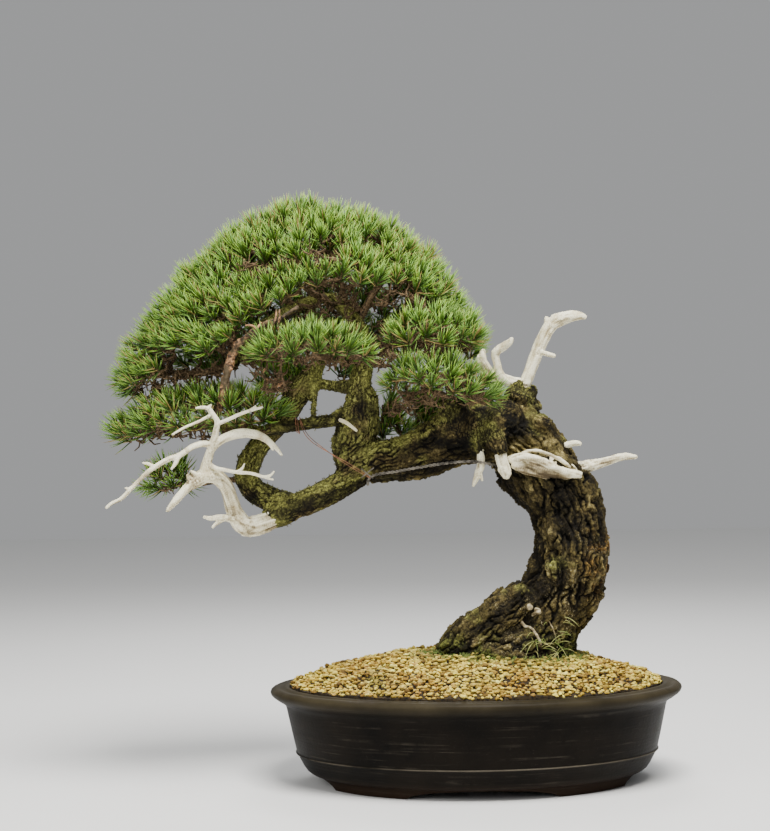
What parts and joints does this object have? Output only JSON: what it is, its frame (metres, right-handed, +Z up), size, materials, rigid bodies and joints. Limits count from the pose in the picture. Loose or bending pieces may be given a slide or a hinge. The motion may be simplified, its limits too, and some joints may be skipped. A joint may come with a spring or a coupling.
{
  "type": "bonsai pine",
  "caption": "Slanting bonsai pine with domed needle sprays, bleached deadwood and an arching limb, growing from a gravel mound in a shallow oval footed pot.",
  "frame": {"origin": "on the surface that the pot stands on, under the middle of the whole object's box", "axes": "+Z up; +X along the pot's length, towards the trunk's side; +Y towards the back, away from the side that the limbs and the bare wood show best from"},
  "size_m": [0.6722, 0.3442, 0.6994],
  "materials": {
    "bark": "deeply fissured bark, matt",
    "bare_wood": "bleached bare wood with fine grain, matt",
    "needles": "living green needles, slight sheen",
    "clay": "unglazed dark fired clay, satin",
    "gravel": "fine pale gravel, matt",
    "dark_wire": "darkened copper wire",
    "copper_wire": "annealed copper wire",
    "mesh_plastic": "black plastic mesh"
  },
  "bodies": {
    "root": {"pot": "clay", "soil": "gravel", "drain_mesh_left": "mesh_plastic", "drain_mesh_right": "mesh_plastic", "mesh_staple_left": "dark_wire", "mesh_staple_right": "dark_wire", "trunk": "bark", "jin_left": "bare_wood", "jin_tall": "bare_wood", "jin_hook": "bare_wood", "jin_stub": "bare_wood", "jin_right": "bare_wood", "jin_right_small": "bare_wood", "jin_front_right": "bare_wood", "jin_front_left": "bare_wood", "shari_plate": "bare_wood", "guy_wire": "dark_wire", "branch_wire": "copper_wire", "spray_crown_top": "needles", "spray_crown_front": "needles", "spray_crown_left_upper": "needles", "spray_crown_left_middle": "needles", "spray_crown_left_lower": "needles", "spray_crown_right_upper": "needles", "spray_crown_right_middle": "needles", "spray_front_centre": "needles", "spray_right_middle": "needles", "spray_right_lower": "needles", "spray_left_lower": "needles", "spray_left_tuft": "needles", "spray_back_left": "needles", "spray_back_middle": "needles", "spray_back_right": "needles"}
  },
  "joints": []
}
